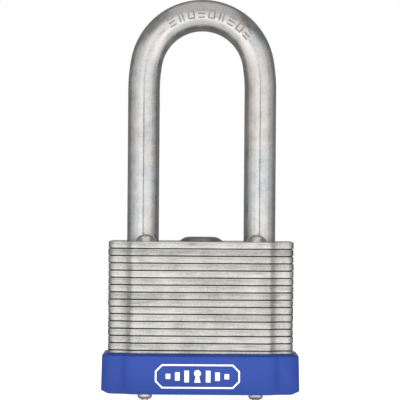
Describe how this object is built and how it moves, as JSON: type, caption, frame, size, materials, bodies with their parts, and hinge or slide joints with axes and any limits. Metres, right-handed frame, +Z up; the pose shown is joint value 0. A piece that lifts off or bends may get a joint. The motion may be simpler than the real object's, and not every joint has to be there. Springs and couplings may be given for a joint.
{
  "type": "laminated padlock",
  "caption": "Laminated steel padlock with a long round shackle, riveted plate case, and a blue plastic bumper round its base.",
  "frame": {"origin": "centre of the overall box in X and Y, at the lowest point of the rivet tails in Z", "axes": "+Z up along the shackle legs, -Y the front that carries the emblem, X across the two legs"},
  "size_m": [0.0494, 0.0304, 0.1006],
  "materials": {
    "laminated_steel": "brushed plated sheet with rounded blanked edges",
    "rivet_steel": "satin",
    "dark_steel": "dark satin",
    "plated_shackle": "zinc plated, satin with slight mottling",
    "blue_bumper": "smooth moulded vinyl",
    "brass": "machined",
    "inner_steel": "plain stamped",
    "spring_steel": "drawn wire"
  },
  "bodies": {
    "case": {"plate_01": "laminated_steel", "plate_02": "laminated_steel", "plate_03": "laminated_steel", "plate_04": "laminated_steel", "plate_05": "laminated_steel", "plate_06": "laminated_steel", "plate_07": "laminated_steel", "plate_08": "laminated_steel", "plate_09": "laminated_steel", "plate_10": "laminated_steel", "plate_11": "laminated_steel", "plate_12": "laminated_steel", "plate_13": "laminated_steel", "plate_14": "laminated_steel", "plate_15": "laminated_steel", "plate_16": "laminated_steel", "plate_17": "laminated_steel", "plate_18": "laminated_steel", "plate_19": "laminated_steel", "plate_20": "laminated_steel", "bumper": "blue_bumper", "rivet_front_left": "rivet_steel", "rivet_front_right": "rivet_steel", "rivet_back_left": "rivet_steel", "rivet_back_right": "rivet_steel", "top_cap": "dark_steel", "cylinder_housing": "brass", "chamber_cap": "brass", "pin_spring_1": "spring_steel", "pin_spring_2": "spring_steel", "pin_spring_3": "spring_steel", "pin_spring_4": "spring_steel", "pin_spring_5": "spring_steel", "latch_spring_front": "spring_steel", "latch_spring_back": "spring_steel", "shackle_spring": "spring_steel"},
    "shackle_body": {"shackle": "plated_shackle", "shackle_clip": "plated_shackle"},
    "plug_body": {"plug": "brass", "plug_clip": "spring_steel", "cam": "brass"},
    "latch_right_body": {"latch_right": "inner_steel"},
    "latch_left_body": {"latch_left": "inner_steel"},
    "driver_1": {"driver_pin_1": "brass"},
    "driver_2": {"driver_pin_2": "brass"},
    "driver_3": {"driver_pin_3": "brass"},
    "driver_4": {"driver_pin_4": "brass"},
    "driver_5": {"driver_pin_5": "brass"},
    "key_1": {"key_pin_1": "brass"},
    "key_2": {"key_pin_2": "brass"},
    "key_3": {"key_pin_3": "brass"},
    "key_4": {"key_pin_4": "brass"},
    "key_5": {"key_pin_5": "brass"}
  },
  "joints": [
    {"name": "shackle_lift", "type": "slide", "parent": "case", "child": "shackle_body", "axis": [0, 0, 1], "range_m": [0, 0.012], "deforming": ["shackle_spring"]},
    {"name": "latch_right_slide", "type": "slide", "parent": "case", "child": "latch_right_body", "axis": [1, 0, 0], "range_m": [0, 0.002], "deforming": ["latch_spring_front"]},
    {"name": "latch_left_slide", "type": "slide", "parent": "case", "child": "latch_left_body", "axis": [-1, 0, 0], "range_m": [0, 0.002], "deforming": ["latch_spring_back"]},
    {"name": "plug_turn", "type": "hinge", "parent": "case", "child": "plug_body", "pos_m": [0, 0, 0.0026], "axis": [0, 0, 1], "range_deg": [-60, 0]},
    {"name": "driver_1_slide", "type": "slide", "parent": "case", "child": "driver_1", "axis": [0, 1, 0], "range_m": [0, 0.001], "stiffness_N_per_m": 40, "springref_m": -0.001, "deforming": ["pin_spring_1"]},
    {"name": "driver_2_slide", "type": "slide", "parent": "case", "child": "driver_2", "axis": [0, 1, 0], "range_m": [0, 0.001], "stiffness_N_per_m": 40, "springref_m": -0.001, "deforming": ["pin_spring_2"]},
    {"name": "driver_3_slide", "type": "slide", "parent": "case", "child": "driver_3", "axis": [0, 1, 0], "range_m": [0, 0.001], "stiffness_N_per_m": 40, "springref_m": -0.001, "deforming": ["pin_spring_3"]},
    {"name": "driver_4_slide", "type": "slide", "parent": "case", "child": "driver_4", "axis": [0, 1, 0], "range_m": [0, 0.001], "stiffness_N_per_m": 40, "springref_m": -0.001, "deforming": ["pin_spring_4"]},
    {"name": "driver_5_slide", "type": "slide", "parent": "case", "child": "driver_5", "axis": [0, 1, 0], "range_m": [0, 0.001], "stiffness_N_per_m": 40, "springref_m": -0.001, "deforming": ["pin_spring_5"]},
    {"name": "key_pin_1_slide", "type": "slide", "parent": "plug_body", "child": "key_1", "axis": [0, -1, 0], "range_m": [0, 0.00257]},
    {"name": "key_pin_2_slide", "type": "slide", "parent": "plug_body", "child": "key_2", "axis": [0, -1, 0], "range_m": [0, 0.00137]},
    {"name": "key_pin_3_slide", "type": "slide", "parent": "plug_body", "child": "key_3", "axis": [0, -1, 0], "range_m": [0, 0.00197]},
    {"name": "key_pin_4_slide", "type": "slide", "parent": "plug_body", "child": "key_4", "axis": [0, -1, 0], "range_m": [0, 0.00097]},
    {"name": "key_pin_5_slide", "type": "slide", "parent": "plug_body", "child": "key_5", "axis": [0, -1, 0], "range_m": [0, 0.00227]}
  ],
  "couplings": [
    {"joint": "plug_turn", "follows": "latch_right_slide", "rad_per_m": -523.59},
    {"joint": "latch_left_slide", "follows": "latch_right_slide", "ratio": 1}
  ]
}
